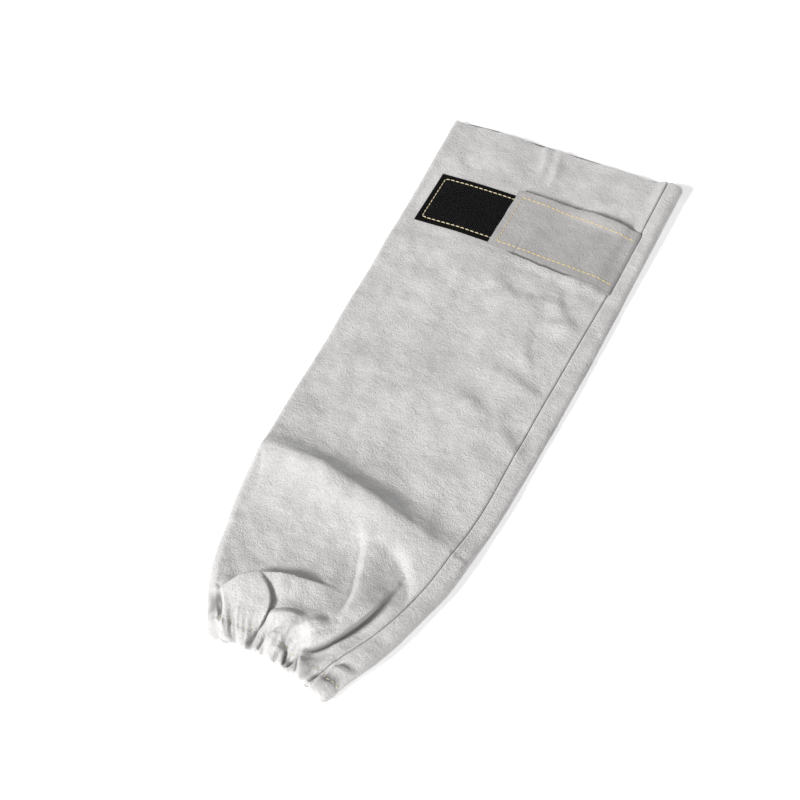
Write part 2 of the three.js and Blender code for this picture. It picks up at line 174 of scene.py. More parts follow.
# The folds of the front wall. path holds places as shares of the width from the left fold and
# of the length from the cuff. rise is the height of the fold, negative for a valley, and near and
# far are the widths of its slopes on the right and on the left of the path's direction. The
# narrower slope is the steep one. lap is how far the crest hangs over to the right, or to the
# left if negative, and sink the depth of the furrow under the steep slope. peak is how square the
# fold's profile is, and ends how much of it is left at the path's first and last point. Lengths
# are in mm.
fade_in, fade_out = 0.3, 0.65
steep_crest, gentle_crest = 1.4 * mm, 4 * mm
widest_foot = 4
# folds whose steep foot is narrower than this get a line of painted shade in their crease
shaded_foot_limit = 2.5 * mm
folds = [
    dict(path=[(0, .287), (.04, .295), (.19, .293), (.353, .286), (.53, .272), (.665, .26), (.786, .255),
               (.889, .25)],
         rise=10.9, near=20, far=12.8, lap=0, sink=.6, peak=1.75, ends=(.6, .35)),
    dict(path=[(.53, .245), (.61, .215), (.65, .186), (.7, .15), (.73, .118), (.74, .1)],
         rise=3.4, near=3.2, far=15, lap=.6, sink=1.6, peak=1.6, ends=(.1, .2)),
    dict(path=[(.64, .215), (.74, .212), (.82, .194), (.88, .17), (.91, .148)],
         rise=-3.4, near=13, far=3.6, lap=0, sink=0, peak=1.6, ends=(.2, .3)),
    dict(path=[(.094, .068), (.12, .072), (.14, .076), (.165, .081), (.188, .085), (.215, .09), (.241, .095),
               (.291, .104), (.35, .113), (.45, .123), (.56, .131), (.66, .134), (.74, .135)],
         rise=6.4, near=14, far=9.2, lap=0, sink=0, peak=1.5, ends=(.38, .05)),
    dict(path=[(.125, .074), (.17, .083), (.21, .091), (.25, .098), (.291, .105), (.36, .113), (.44, .121),
               (.54, .13), (.64, .134)],
         rise=4, near=8, far=2.2, lap=-1.6, sink=2, peak=1.7, ends=(.12, .02)),
    dict(path=[(.73, .034), (.785, .05), (.83, .072), (.855, .1), (.868, .14)],
         rise=-3.8, near=6, far=6, lap=0, sink=0, peak=1.7, ends=(.3, .1)),
    dict(path=[(.65, .046), (.67, .049), (.7, .054), (.74, .066), (.77, .082), (.79, .098), (.81, .124),
               (.815, .15), (.82, .18)],
         rise=5.6, near=1.2, far=12, lap=2.6, sink=2.4, peak=1.7, ends=(.1, .1)),
    dict(path=[(.276, .104), (.314, .099), (.348, .091), (.371, .081), (.379, .069), (.373, .056),
               (.351, .043), (.316, .026)],
         rise=2.6, near=9, far=1.1, lap=-1.8, sink=1.1, peak=1.7, ends=(.1, .6)),
    dict(path=[(.7, .089), (.68, .083), (.65, .075), (.598, .064), (.544, .052), (.512, .039), (.495, .023),
               (.492, .008)],
         rise=5.3, near=7, far=6.8, lap=.4, sink=1.2, peak=1.5, ends=(.1, .7)),
    dict(path=[(.38, .058), (.417, .065), (.462, .071), (.511, .075), (.559, .076), (.593, .074)],
         rise=4.6, near=7, far=5, lap=0, sink=.8, peak=1.5, ends=(.2, .2)),
    dict(path=[(.105, .078), (.13, .07), (.152, .06), (.158, .048), (.15, .034), (.146, .021), (.158, .006)],
         rise=2.6, near=1.8, far=7, lap=.8, sink=1.6, peak=1.7, ends=(.2, .4)),
    dict(path=[(.225, .062), (.234, .045), (.23, .022)],
         rise=1.2, near=2, far=4, lap=.8, sink=.6, peak=1.7, ends=(.1, .6)),
    dict(path=[(.674, .042), (.702, .031), (.73, .017), (.752, .002)],
         rise=3, near=1.6, far=5, lap=.7, sink=1.8, peak=1.7, ends=(.3, .6)),
    dict(path=[(.672, .04), (.676, .028), (.662, .014), (.655, 0)],
         rise=3, near=1.6, far=5, lap=.7, sink=1.8, peak=1.7, ends=(.3, .6)),
    dict(path=[(.555, .036), (.57, .028), (.59, .014)],
         rise=2.8, near=4, far=1.6, lap=-1.4, sink=1.8, peak=1.7, ends=(.2, .5)),
    dict(path=[(.486, .049), (.471, .039), (.445, .025), (.425, .006)],
         rise=3.4, near=1.6, far=3, lap=1.8, sink=2.3, peak=1.7, ends=(.3, .7)),
    dict(path=[(.913, .038), (.915, .025), (.93, .012), (.955, -.004)],
         rise=.9, near=1.6, far=5, lap=.4, sink=1.6, peak=1.7, ends=(.2, .7)),
    dict(path=[(.905, .038), (.95, .051), (.985, .066)],
         rise=.9, near=4, far=1.6, lap=-.2, sink=1.4, peak=1.7, ends=(.2, .1)),
    dict(path=[(.858, .029), (.86, .016), (.85, .002)],
         rise=1.6, near=1.6, far=4, lap=.8, sink=1.4, peak=1.7, ends=(.2, .6)),
    dict(path=[(.4, 1), (.434, .956), (.45, .915)],
         rise=1.2, near=2.2, far=3.2, lap=0, sink=0, peak=1.8, ends=(.9, .1)),
    dict(path=[(.46, 1), (.491, .952), (.508, .9)],
         rise=1.1, near=2.2, far=3.2, lap=0, sink=0, peak=1.8, ends=(.9, .1)),
    dict(path=[(.47, .742), (.64, .738), (.8, .734), (.9, .732)],
         rise=-1.9, near=9, far=3.5, lap=0, sink=0, peak=1.8, ends=(.2, .6)),
    dict(path=[(.45, .72), (.6, .68), (.76, .69), (.88, .655)],
         rise=1.6, near=9, far=5, lap=0, sink=.8, peak=1.8, ends=(.1, .1)),
    dict(path=[(.65, .548), (.721, .544), (.783, .538), (.845, .532), (.895, .53), (.93, .536)],
         rise=1.5, near=9, far=4.5, lap=0, sink=.9, peak=1.8, ends=(.1, .1)),
    dict(path=[(.72, .645), (.783, .657), (.848, .664), (.913, .659)],
         rise=1.3, near=9, far=4.5, lap=0, sink=.8, peak=1.8, ends=(.1, .1)),
    dict(path=[(.736, .62), (.742, .598), (.774, .579), (.817, .568)],
         rise=1.2, near=8, far=3.5, lap=0, sink=.6, peak=1.8, ends=(.1, .1)),
    dict(path=[(.782, .46), (.848, .451), (.9, .437), (.94, .421)],
         rise=1.4, near=9, far=4, lap=0, sink=.8, peak=1.8, ends=(.1, .2)),
    dict(path=[(.733, .722), (.761, .707), (.787, .688)],
         rise=1.3, near=8, far=3.5, lap=0, sink=.6, peak=1.8, ends=(.3, .1)),
    dict(path=[(.597, .495), (.657, .478), (.715, .461)],
         rise=.9, near=9, far=5, lap=0, sink=.4, peak=1.8, ends=(.1, .1)),
    dict(path=[(.059, .916), (.132, .893), (.178, .878)],
         rise=1.1, near=8, far=4, lap=0, sink=.5, peak=1.8, ends=(.1, .1)),
]


def smooth_path(points, steps=9):
    """A curve through given points (Catmull-Rom)."""
    p = np.array([points[0], *points, points[-1]], float)
    t = np.linspace(0, 1, steps, endpoint=False)[:, None]
    parts = []
    for a, b, c, d in zip(p, p[1:], p[2:], p[3:]):
        parts.append(0.5 * (2 * b + (c - a) * t + (2 * a - 5 * b + 4 * c - d) * t ** 2
                            + (3 * b - a - 3 * c + d) * t ** 3))
    return np.vstack([*parts, p[-1:]])


def nearest_on_path(path_x, path_y, x, y):
    """Each point's distance from a path, its side, its share of the way along, and the way across."""
    best = np.full(x.shape, np.inf)
    side, travelled, across = np.zeros(x.shape), np.zeros(x.shape), np.zeros((2, *x.shape))
    stretches = len(path_x) - 1
    for i in range(stretches):
        dx, dy = path_x[i + 1] - path_x[i], path_y[i + 1] - path_y[i]
        length = math.hypot(dx, dy)
        t = np.clip(((x - path_x[i]) * dx + (y - path_y[i]) * dy) / length ** 2, 0, 1)
        off_x, off_y = x - path_x[i] - t * dx, y - path_y[i] - t * dy
        distance = np.hypot(off_x, off_y)
        nearer = distance < best
        best = np.where(nearer, distance, best)
        side = np.where(nearer, np.sign(dx * off_y - dy * off_x), side)
        travelled = np.where(nearer, (i + t) / stretches, travelled)
        across[0] = np.where(nearer, dy / length, across[0])
        across[1] = np.where(nearer, -dx / length, across[1])
    return best, side, travelled, across


def fold_shift(x, y):
    """How far the folds move points of the front wall in x, y and z, and how much painted shade darkens them
    in a tight crease.
    """
    moved = np.zeros((4, *x.shape))
    for fold in folds:
        path = smooth_path(fold["path"])
        section = section_at(path[:, 1])
        path_x = section["left"] + path[:, 0] * section["width"]
        path_y = (path[:, 1] - 0.5) * sleeve_length
        distance, side, travelled, across = nearest_on_path(path_x, path_y, x, y)
        first, last = fold["ends"]
        strength = mix(first, 1, ease(travelled / fade_in))
        strength = mix(strength, last, ease((travelled - fade_out) / (1 - fade_out)))
        steep = side == (-1 if fold["near"] < fold["far"] else 1)
        bell = hill(distance, np.where(side < 0, fold["near"], fold["far"]) * mm, fold["peak"])
        crest = hill(distance, np.where(steep, steep_crest, gentle_crest))
        # the furrow and the crease lie beyond the foot of the steep slope
        foot = min(fold["near"], fold["far"], widest_foot) * mm
        furrow = hill(distance - 1.9 * foot - 1.5 * mm, 1.3 * foot + 2.2 * mm) * steep
        crease = 0.8 * hill(distance - foot - 0.9 * mm, 1.2 * mm) * steep
        moved[:2] += fold["lap"] * mm * strength * crest * across
        moved[2] += (fold["rise"] * bell - fold["sink"] * (furrow + crease)) * mm * strength
        # painted shade: a dark line of colour in the tight crease beside a lapped fold, standing in for its
        # shadow
        if fold["lap"] and foot < shaded_foot_limit:
            painted_shade_line = hill(distance - foot - 0.5 * mm, 0.8 * mm) * steep
            moved[3] = np.maximum(moved[3], painted_shade_line * strength * min(1, fold["sink"] / 2))
    return moved


def gather_wave(around):
    """The uneven gathers round the cuff, broad on the crest and narrow in the pleat."""
    turn = 2 * math.pi * around
    swing = 0.9 * np.sin(2 * turn + 1) + 0.6 * np.sin(5 * turn)
    wave = np.sin(gather_count * turn + swing)
    return 1 - 2 * ((1 - wave) / 2) ** 1.7


def pleat_strength(around):
    """How much stronger or weaker than the rest each gather is."""
    turn = 2 * math.pi * around
    return 1 + 0.28 * np.sin(7 * turn + 0.6) + 0.22 * np.sin(11 * turn + 2.1)


# The hide's columns are numbered from the left fold over the front wall to the right fold, and
# back under it. These are the last column of the left fold, the seam's, the first of the right
# fold, and the right fold's outermost, which is half of the way round.
fold_columns = 3
seam_column = 24
roll_column = 27
half_columns = 30
seam_bank = 2.2 * mm


def place_around(section, around):
    """Where a place round the tube lies: front or back, fold angle, which fold, its radius, and x."""
    front = around <= 0.5
    column = np.where(front, around, 1 - around) * 2 * half_columns
    panel_start = section["left"] + section["left_radius"]
    roll_top = section["right"] - section["right_radius"]
    seam_x = section["seam_x"]
    stops = [panel_start, seam_x - seam_lip_width, seam_x - seam_bank, seam_x, seam_x + seam_bank, roll_top]
    counts = [fold_columns, 21, 23, seam_column, 25, roll_column]
    x = np.array(panel_start, float) + 0 * column
    for k in range(1, len(stops)):
        share = (column - counts[k - 1]) / (counts[k] - counts[k - 1])
        x = np.where(share > 0, mix(stops[k - 1], stops[k], np.clip(share, 0, 1)), x)
    on_left, on_right = column < fold_columns, column > roll_column
    from_rim = np.where(on_left, column, half_columns - column) / fold_columns
    angle = np.where(on_left | on_right, from_rim, 1) * quarter_turn
    out = np.where(on_left, -1, np.where(on_right, 1, 0))
    radius = np.where(out < 0, section["left_radius"], section["right_radius"])
    return front, angle, out, radius, x


def relief(x, y, size, seed):
    """Soft uneven hide: a noise of about that size, from about -1 to 1."""
    flat = [noise.noise(Vector((a / size, b / size, seed))) for a, b in zip(x.ravel(), y.ravel())]
    return 1.6 * np.array(flat).reshape(x.shape)


# Pleats that the elastic draws into the front of the cuff: place from the left fold to the
# right, depth and half width in mm, how far up they run in mm, and how far they lean sideways
pleats = [
    (0.07, 0.9, 1.0, 16, 2), (0.19, 0.8, 0.9, 14, 2), (0.29, 1.0, 1.0, 16, 4), (0.36, 1.3, 1.1, 20, 5),
    (0.56, 1.2, 1.0, 16, 4), (0.79, 1.2, 1.0, 18, 3), (0.98, 0.8, 1.0, 14, 0),
]
cuff_flatten = 0.62
cuff_flatten_reach = 27 * mm
back_pull = 6.5 * mm
strap_low, strap_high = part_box("closure_strap")
strap_root_press = 1.9 * mm
patch_calm = 0.15
calm_left, calm_low, calm_high = -82 * mm, 112 * mm, 182 * mm
calm_blend = 8 * mm


def pleat_depth(around, along):
    """How deep the pleats cut into the front wall at a place."""
    across = 2 * around
    total = np.zeros(across.shape)
    for place, depth, width, reach, lean in pleats:
        climb = along * sleeve_length / (reach * mm)
        shift = lean * mm / cuff_width * climb
        off = (across - place - shift) * cuff_width / (width * mm * (1 + 0.9 * climb))
        total += depth * mm * hill(climb, 1) * (hill(np.abs(off), 1, 1.25) - 0.3 * hill(off, 3.2))
    return np.where(around <= 0.5, total, 0)


def strap_press(section, x, y):
    """How far the front wall is pressed down where the strap's root is sewn into the seam."""
    reach = ease((x - section["seam_x"] + 14 * mm) / (13 * mm)) * (x <= section["seam_x"])
    wide = ease((y - strap_low.y + 1 * mm) / (2.5 * mm)) * ease((strap_high.y + 1 * mm - y) / (2.5 * mm))
    return strap_root_press * reach * wide


def hide_waves(x, y):
    """The soft dents of a hide that doesn't lie flat."""
    broad = relief(x, y, 46 * mm, 1.5)
    middling = relief(x, y, 19 * mm, 7.5)
    small = relief(x, y, 7.5 * mm, 3.5)
    return (0.8 * broad + 0.8 * middling + 0.3 * small) * mm


def cuff_line(across):
    """Where the cuff's slanted and bowed edge lies along the sleeve, before its scallops."""
    return -sleeve_length / 2 + cuff_slant * (1 - across) + cuff_bow * np.sin(math.pi * across)


def end_lines(around):
    """Where the cuff's scalloped edge and the mouth's edge lie along the sleeve."""
    front = around <= 0.5
    behind = ease((0.25 - np.abs(around - 0.75)) / setback_blend)
    scallop = scallop_depth * (1 - gather_wave(around)) / 2 * np.where(front, 0.5, 1)
    scallop += pleat_notch * pleat_depth(around, 0 * around) + back_pull * behind
    ripple = mouth_ripple * np.sin(mouth_ripples[0] * around + 1) * np.sin(mouth_ripples[1] * around)
    mouth = sleeve_length / 2 - front_setback * (1 - behind) - np.abs(ripple)
    return cuff_line(np.where(front, 2 * around, 2 - 2 * around)) + scallop, mouth


def cuff_swell(section, x, around, along, on_fold, up):
    """How far the gathers, the elastic's casing and its stitching stand off the plain wall."""
    front = around <= 0.5
    from_cuff = along * sleeve_length
    # behind, the gathers run further up the sleeve than in front
    fade_behind = 0.72 * hill(from_cuff, 30 * mm, 1.5) + 0.28 * ease(1 - from_cuff / gather_reach)
    fade = np.where(front, gather_in_front * hill(from_cuff, 15 * mm, 1.6), fade_behind)
    wave = gather_depth * fade * pleat_strength(around) * gather_wave(around)
    wave *= np.where(on_fold, gather_on_fold, 1)
    wave *= mix(1, gather_past_seam, front * ease((x - section["seam_x"]) / (3 * mm)))
    pleat = wave - pleat_depth(around, along)
    casing = casing_swell * np.sin(math.pi * np.clip(from_cuff / hem_stitch_drop, 0, 1))
    from_stitches = from_cuff - hem_stitch_drop
    stitched = -stitch_pull * hill(from_stitches, 1.4 * mm)
    puckers = pucker_height * np.sin(2 * math.pi * around * pucker_count) * hill(from_stitches, 6 * mm)
    swell = pleat + casing + stitched + puckers
    return np.where(front, swell, np.minimum(swell, (pleat + casing) * (1 - up)))


def wall_points(around, along, depth, drop=0.0, sideways=0.0):
    """Points of the tube's wall at a depth below its outer face: rows of x, y, z and painted crease shade."""
    section = section_at(along)
    front, angle, out, radius, x = place_around(section, around)
    cuff, mouth = end_lines(around)
    y = mix(cuff, mouth, along)
    from_cuff = along * sleeve_length
    on_fold, up = out != 0, np.sin(angle)
    flat = mix(cuff_flatten, 1, ease(from_cuff / cuff_flatten_reach))
    off = cuff_swell(section, x, around, along, on_fold, up) - depth

    # the folds fade at the hem, and round the side folds
    fold = fold_shift(x, y)
    free = ease(from_cuff / hem_hold_reach)
    fold[:2] *= free
    fold[2] *= mix(hem_hold_rise, 1, free)
    strength = np.where(front, up, 0)

    # the hide's edges drop into the seam, which is shut at the hem
    seam_open = mix(seam_shut, 1, ease((from_cuff - 3 * mm) / (7 * mm)))
    seam_open = np.where(depth > 0, seam_shut, seam_open)
    drop, sideways = drop * seam_open, sideways * seam_open

    rise = flat * (front_height(section, x + 0.5 * mm) - front_height(section, x - 0.5 * mm)) / mm
    tilt = np.hypot(rise, 1)
    top = flat * front_height(section, x) + fold[2] - drop - strap_press(section, x, y)
    turned = np.where(front, 1, -1) * up
    px = np.where(on_fold, x + out * (radius + off) * np.cos(angle) + strength * fold[0],
                  np.where(front, x - off * rise / tilt + fold[0], x))
    pz = np.where(on_fold, radius * flat * (1 + turned) + off * turned + strength * fold[2],
                  np.where(front, top + off / tilt, -np.minimum(off, 0)))
    py = y + strength * fold[1]
    return np.array([px + sideways, py, np.maximum(pz, 0), strength * fold[3] * (depth <= 0)])


def lay_hide():
    """The hide as a sheet: its columns from the seam round the tube, its rows from the turned-in edge."""
    roll = 1.5 * mm
    slit = 0.1 * mm
    allowance = 3.2 * mm

    def edge_columns(side):
        """One edge of the hide, rolled over into the seam and running down beside its other edge."""
        rolled = [(seam_column, roll * (1 - math.sin(t * quarter_turn)), side,
                   roll * (1 - math.cos(t * quarter_turn))) for t in np.linspace(1, 0, 5)]
        sewn = [(seam_column, roll + allowance * t, side, 0) for t in np.linspace(0.3, 1, 3)]
        return rolled + sewn

    # column, drop into the seam, which edge of the hide it is on, and distance from the seam
    plan = edge_columns(1)[::-1]
    # stretches of columns round the tube, and how many finer columns each has
    for start, end, count in ((24.9, 27, 7), (27, 30, 9), (30, 33, 6), (33, 57, 20), (57, 60, 6),
                              (0, 3, 9), (3, 21, 104), (21, 23.1, 8)):
        plan += [(c, 0, 0, 0) for c in np.linspace(start, end, count + 1)[1:]]
    plan += edge_columns(-1)
    column, drop, edge, off_seam = np.array(plan).T
    around = column / (2 * half_columns)

    # along and depth of each row: the hem turned in, its rounded edge, and the wall up to the mouth
    turn = hem_thickness / 2
    bend = np.linspace(quarter_turn, -quarter_turn, 9)
    turned_in = [(d, hem_thickness) for d in np.linspace(hem_depth, turn, 8)[:-1]]
    turned_in += [(turn * (1 - math.cos(a)), turn * (1 + math.sin(a))) for a in bend]
    rows = [(d / sleeve_length, deep) for d, deep in turned_in]
    for start, end, count in ((turn / sleeve_length, 0.2, 118), (0.2, 0.36, 44), (0.36, 1, 84)):
        rows += [(a, 0) for a in np.linspace(start, end, count)[1:]]
    along, depth = np.array(rows).T

    grid_around, grid_along = np.meshgrid(around, along)
    everywhere = 0 * grid_around
    places = wall_points(grid_around, grid_along, depth[:, None] + everywhere, drop + everywhere,
                         edge * (slit + off_seam) + everywhere)
    x, y = places[:2]
    soft = ease((along - 0.02) / 0.05)[:, None] * ((column <= half_columns) & (edge == 0))
    under_patch = ease((x - calm_left) / calm_blend) * ease((y - calm_low) / calm_blend)
    calm = mix(1, patch_calm, under_patch * ease((calm_high - y) / calm_blend))
    off_the_seam = np.minimum(np.abs(column - seam_column) / 4, 1)
    places[2] += hide_waves(x, y) * soft * calm * off_the_seam
    return places, len(column), len(along)


def new_sheet(name, places, columns, rows, thickness, offset=-1):
    """A flat grid, its points moved to their places and given a thickness; a fourth row holds painted crease
    shade.
    """
    bpy.ops.object.select_all(action="DESELECT")
    bpy.ops.mesh.primitive_grid_add(x_subdivisions=columns - 1, y_subdivisions=rows - 1, size=1)
    piece = bpy.context.object
    piece.name = piece.data.name = name
    piece.data.vertices.foreach_set("co", places[:3].reshape(3, -1).T.astype(np.float32).ravel())
    if len(places) > 3:
        # the crease attribute carries painted shade: how far the colour is darkened where shadow would fall
        crease = piece.data.attributes.new("crease", "FLOAT", "POINT")
        crease.data.foreach_set("value", places[3].astype(np.float32).ravel())
    wall = piece.modifiers.new("thickness", "SOLIDIFY")
    wall.thickness = thickness
    wall.offset = offset
    bpy.ops.object.modifier_apply(modifier=wall.name)
    bpy.ops.object.shade_smooth_by_angle(angle=math.radians(50))
    return piece


tube = new_sheet("leather_tube", *lay_hide(), leather_thickness)


def new_material(name):
    material = bpy.data.materials.new(name)
    material.use_nodes = True
    nodes, links = material.node_tree.nodes, material.node_tree.links
    return material, nodes, links, nodes["Principled BSDF"]


def leather_nap():
    """Split leather's nap: fine fibre, pebble, brushed streaks and dents, with soft mottling."""
    group = bpy.data.node_groups.new("split_leather_nap", "ShaderNodeTree")
    socket = group.interface.new_socket
    socket("Vector", in_out="INPUT", socket_type="NodeSocketVector")
    for name, value in (("Depth", 1.0), ("Mottling", 1.0)):
        socket(name, in_out="INPUT", socket_type="NodeSocketFloat").default_value = value
    for name in ("Light", "Dark"):
        socket(name, in_out="INPUT", socket_type="NodeSocketColor")
    socket("Color", in_out="OUTPUT", socket_type="NodeSocketColor")
    socket("Height", in_out="OUTPUT", socket_type="NodeSocketFloat")
    nodes, links = group.nodes, group.links
    inward, outward = nodes.new("NodeGroupInput"), nodes.new("NodeGroupOutput")

    def grain(size, detail, rough, stretch=(1, 1, 1)):
        """A noise of about that size, brushed in one slanting direction."""
        turned = nodes.new("ShaderNodeMapping")
        turned.inputs["Scale"].default_value = [s / size for s in stretch]
        turned.inputs["Rotation"].default_value = (0, 0, math.radians(32))
        links.new(inward.outputs["Vector"], turned.inputs["Vector"])
        node = nodes.new("ShaderNodeTexNoise")
        node.inputs["Scale"].default_value = 1
        node.inputs["Detail"].default_value = detail
        node.inputs["Roughness"].default_value = rough
        links.new(turned.outputs[0], node.inputs["Vector"])
        return node.outputs["Fac"]

    def math_node(kind, a, b):
        node = nodes.new("ShaderNodeMath")
        node.operation = kind
        for slot, value in zip(node.inputs, (a, b)):
            if isinstance(value, (int, float)):
                slot.default_value = value
            else:
                links.new(value, slot)
        return node.outputs[0]

    def weighed(parts):
        """The sum of patterns, each times its weight."""
        total = None
        for pattern, weight in parts:
            part = math_node("MULTIPLY", pattern, weight)
            total = part if total is None else math_node("ADD", total, part)
        return total

    fibre = grain(0.85 * mm, 2, 0.7)
    pebble = grain(1.6 * mm, 3, 0.6)
    brushed = grain(5 * mm, 3, 0.6, (0.7, 1.3, 1))
    dents = grain(15 * mm, 3, 0.5, (0.9, 1.1, 1))
    blotch = grain(17 * mm, 3, 0.55)
    broad = grain(60 * mm, 2, 0.5)
    height = weighed([(fibre, 0.9), (pebble, 0.75), (brushed, 0.6), (dents, 2)])
    links.new(math_node("MULTIPLY", height, inward.outputs["Depth"]), outward.inputs["Height"])

    patches = math_node("SUBTRACT", weighed([(blotch, 0.75), (broad, 0.45)]), 0.6)
    tone = weighed([(fibre, 0.75), (pebble, 0.35), (brushed, 0.2), (patches, inward.outputs["Mottling"])])
    ramp = nodes.new("ShaderNodeMapRange")
    ramp.inputs["From Min"].default_value = 0.24
    ramp.inputs["From Max"].default_value = 1.04
    links.new(tone, ramp.inputs["Value"])
    blend = nodes.new("ShaderNodeMix")
    blend.data_type = "RGBA"
    links.new(ramp.outputs[0], blend.inputs["Factor"])
    links.new(inward.outputs["Dark"], blend.inputs["A"])
    links.new(inward.outputs["Light"], blend.inputs["B"])
    links.new(blend.outputs["Result"], outward.inputs["Color"])
    return group


nap = leather_nap()


def suede_material(name, light, dark, depth, mottling):
    """Suede in two tones of the nap, with near-black painted shade where its crease attribute marks a tight
    crease or the strap's lower edge.
    """
    material, nodes, links, surface = new_material(name)
    place = nodes.new("ShaderNodeTexCoord")
    grain = nodes.new("ShaderNodeGroup")
    grain.node_tree = nap
    grain.inputs["Light"].default_value = (*light, 1)
    grain.inputs["Dark"].default_value = (*dark, 1)
    grain.inputs["Depth"].default_value = depth
    grain.inputs["Mottling"].default_value = mottling
    links.new(place.outputs["Object"], grain.inputs["Vector"])
    # painted shade: the crease attribute blends the colour towards near black, standing in for the shadow in
    # creases
    crease_shade_attribute = nodes.new("ShaderNodeAttribute")
    crease_shade_attribute.attribute_name = "crease"
    painted_shade_mix = nodes.new("ShaderNodeMix")
    painted_shade_mix.data_type = "RGBA"
    painted_shade_mix.inputs["B"].default_value = (0.035, 0.033, 0.032, 1)
    links.new(crease_shade_attribute.outputs["Fac"], painted_shade_mix.inputs["Factor"])
    links.new(grain.outputs["Color"], painted_shade_mix.inputs["A"])
    links.new(painted_shade_mix.outputs["Result"], surface.inputs["Base Color"])
    bump = nodes.new("ShaderNodeBump")
    bump.inputs["Strength"].default_value = 1
    bump.inputs["Distance"].default_value = 0.68 * mm
    links.new(grain.outputs["Height"], bump.inputs["Height"])
    links.new(bump.outputs["Normal"], surface.inputs["Normal"])
    surface.inputs["Roughness"].default_value = 0.95
    surface.inputs["Specular IOR Level"].default_value = 0.15
    surface.inputs["Sheen Weight"].default_value = 0.25
    surface.inputs["Sheen Roughness"].default_value = 0.5
    return material


tube_suede = suede_material("grey_split_leather", (0.67, 0.66, 0.655), (0.36, 0.352, 0.348), 1.0, 0.8)
tube.data.materials.append(tube_suede)
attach(tube, "root")
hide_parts("sleeve_shell")

# The elastic: a flat woven band about 8 mm wide, drawn tight in the hem's pocket, which pulls
# the cuff into its gathers. It is hidden by the leather.
elastic_columns, elastic_rows = 181, 7
elastic_low, elastic_high = 1.65 * mm, 9.65 * mm
elastic_depth = 1.9 * mm
elastic_thickness = 0.8 * mm
elastic_round = np.linspace(0, 1, elastic_columns)
elastic_along = np.linspace(elastic_low, elastic_high, elastic_rows) / sleeve_length
band_around, band_along = np.meshgrid(elastic_round, elastic_along)
band_places = wall_points(band_around, band_along, 0 * band_around + elastic_depth)
elastic = new_sheet("cuff_elastic_band", band_places, elastic_columns, elastic_rows, elastic_thickness)
elastic_cloth, nodes, links, surface = new_material("woven_elastic")
surface.inputs["Base Color"].default_value = (0.75, 0.73, 0.68, 1)
surface.inputs["Roughness"].default_value = 0.85
weave = nodes.new("ShaderNodeTexWave")
weave.inputs["Scale"].default_value = 900
weave_bump = nodes.new("ShaderNodeBump")
weave_bump.inputs["Distance"].default_value = 0.2 * mm
links.new(nodes.new("ShaderNodeTexCoord").outputs["Object"], weave.inputs["Vector"])
links.new(weave.outputs["Fac"], weave_bump.inputs["Height"])
links.new(weave_bump.outputs["Normal"], surface.inputs["Normal"])
elastic.data.materials.append(elastic_cloth)
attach(elastic, "root")
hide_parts("cuff_elastic")

# The fastener patch: black hook tape 50 mm wide, sewn flat on the front wall with one row of
# cream stitches inside its edge. Its hooks stand up in rows inside the stitching.
patch_low, patch_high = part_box("fastener_patch")
patch_columns, patch_rows = 79, 51
patch_base = 0.75 * mm
seat_gap = 0.1 * mm


def section_under(x, y):
    """The tube's section at a place, found from its true distance along the slanted cuff's tube."""
    along = 0.5 + y / sleeve_length
    for _ in range(3):
        section = section_at(along)
        cuff = cuff_line(np.clip((x - section["left"]) / section["width"], 0, 1))
        along = (y - cuff) / (sleeve_length / 2 - front_setback - cuff)
    return section_at(along)


def wall_height(x, y):
    """The height of the front wall under a point, as laid, with its folds."""
    section = section_under(x, y)
    off_the_seam = np.clip((section["seam_x"] - x) / (16 * mm), 0, 1)
    top = front_height(section, x) + fold_shift(x, y)[2] - strap_press(section, x, y)
    return top + patch_calm * hide_waves(x, y) * off_the_seam


def laid_grid(low, high, columns, rows, lift):
    """A flat grid laid on the front wall between two corners."""
    x, y = np.meshgrid(np.linspace(low[0], high[0], columns), np.linspace(low[1], high[1], rows))
    return np.array([x, y, wall_height(x, y) + lift])


patch_places = laid_grid(patch_low, patch_high, patch_columns, patch_rows, seat_gap)
patch = new_sheet("hook_tape_patch", patch_places, patch_columns, patch_rows, patch_base, 1)
patch_rim = patch.modifiers.new("rim", "BEVEL")
patch_rim.width = 0.2 * mm
patch_rim.segments = 2
patch_rim.limit_method = "ANGLE"
bpy.ops.object.modifier_apply(modifier=patch_rim.name)

hook_margin = 5.3 * mm
hook_pitch = Vector((1.25, 1.5)) * mm
hook_height = 0.85 * mm
hook_wire = 0.16 * mm
hook_scatter = (0.08 * mm, 0.12 * mm)
hook_twist = 0.35
hook_sunk = 0.05 * mm
visible_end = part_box("closure_strap")[0].x + 3 * mm


def joined_copies(name, model, places, turns):
    """One mesh of many copies of a small model, each turned about Z and set at its place."""
    points = np.array([v.co for v in model.data.vertices])
    faces = [tuple(p.vertices) for p in model.data.polygons]
    all_points, all_faces = [], []
    for place, (c, s) in zip(places, turns):
        start = len(points) * len(all_points)
        moved = np.column_stack([points[:, 0] * c - points[:, 1] * s,
                                 points[:, 0] * s + points[:, 1] * c, points[:, 2]])
        all_points.append(moved + place)
        all_faces += [tuple(start + i for i in f) for f in faces]
    mesh = bpy.data.meshes.new(name)
    mesh.from_pydata(np.vstack(all_points).tolist(), [], all_faces)
    mesh.shade_smooth()
    piece = bpy.data.objects.new(name, mesh)
    bpy.context.scene.collection.objects.link(piece)
    bpy.data.objects.remove(model)
    return piece


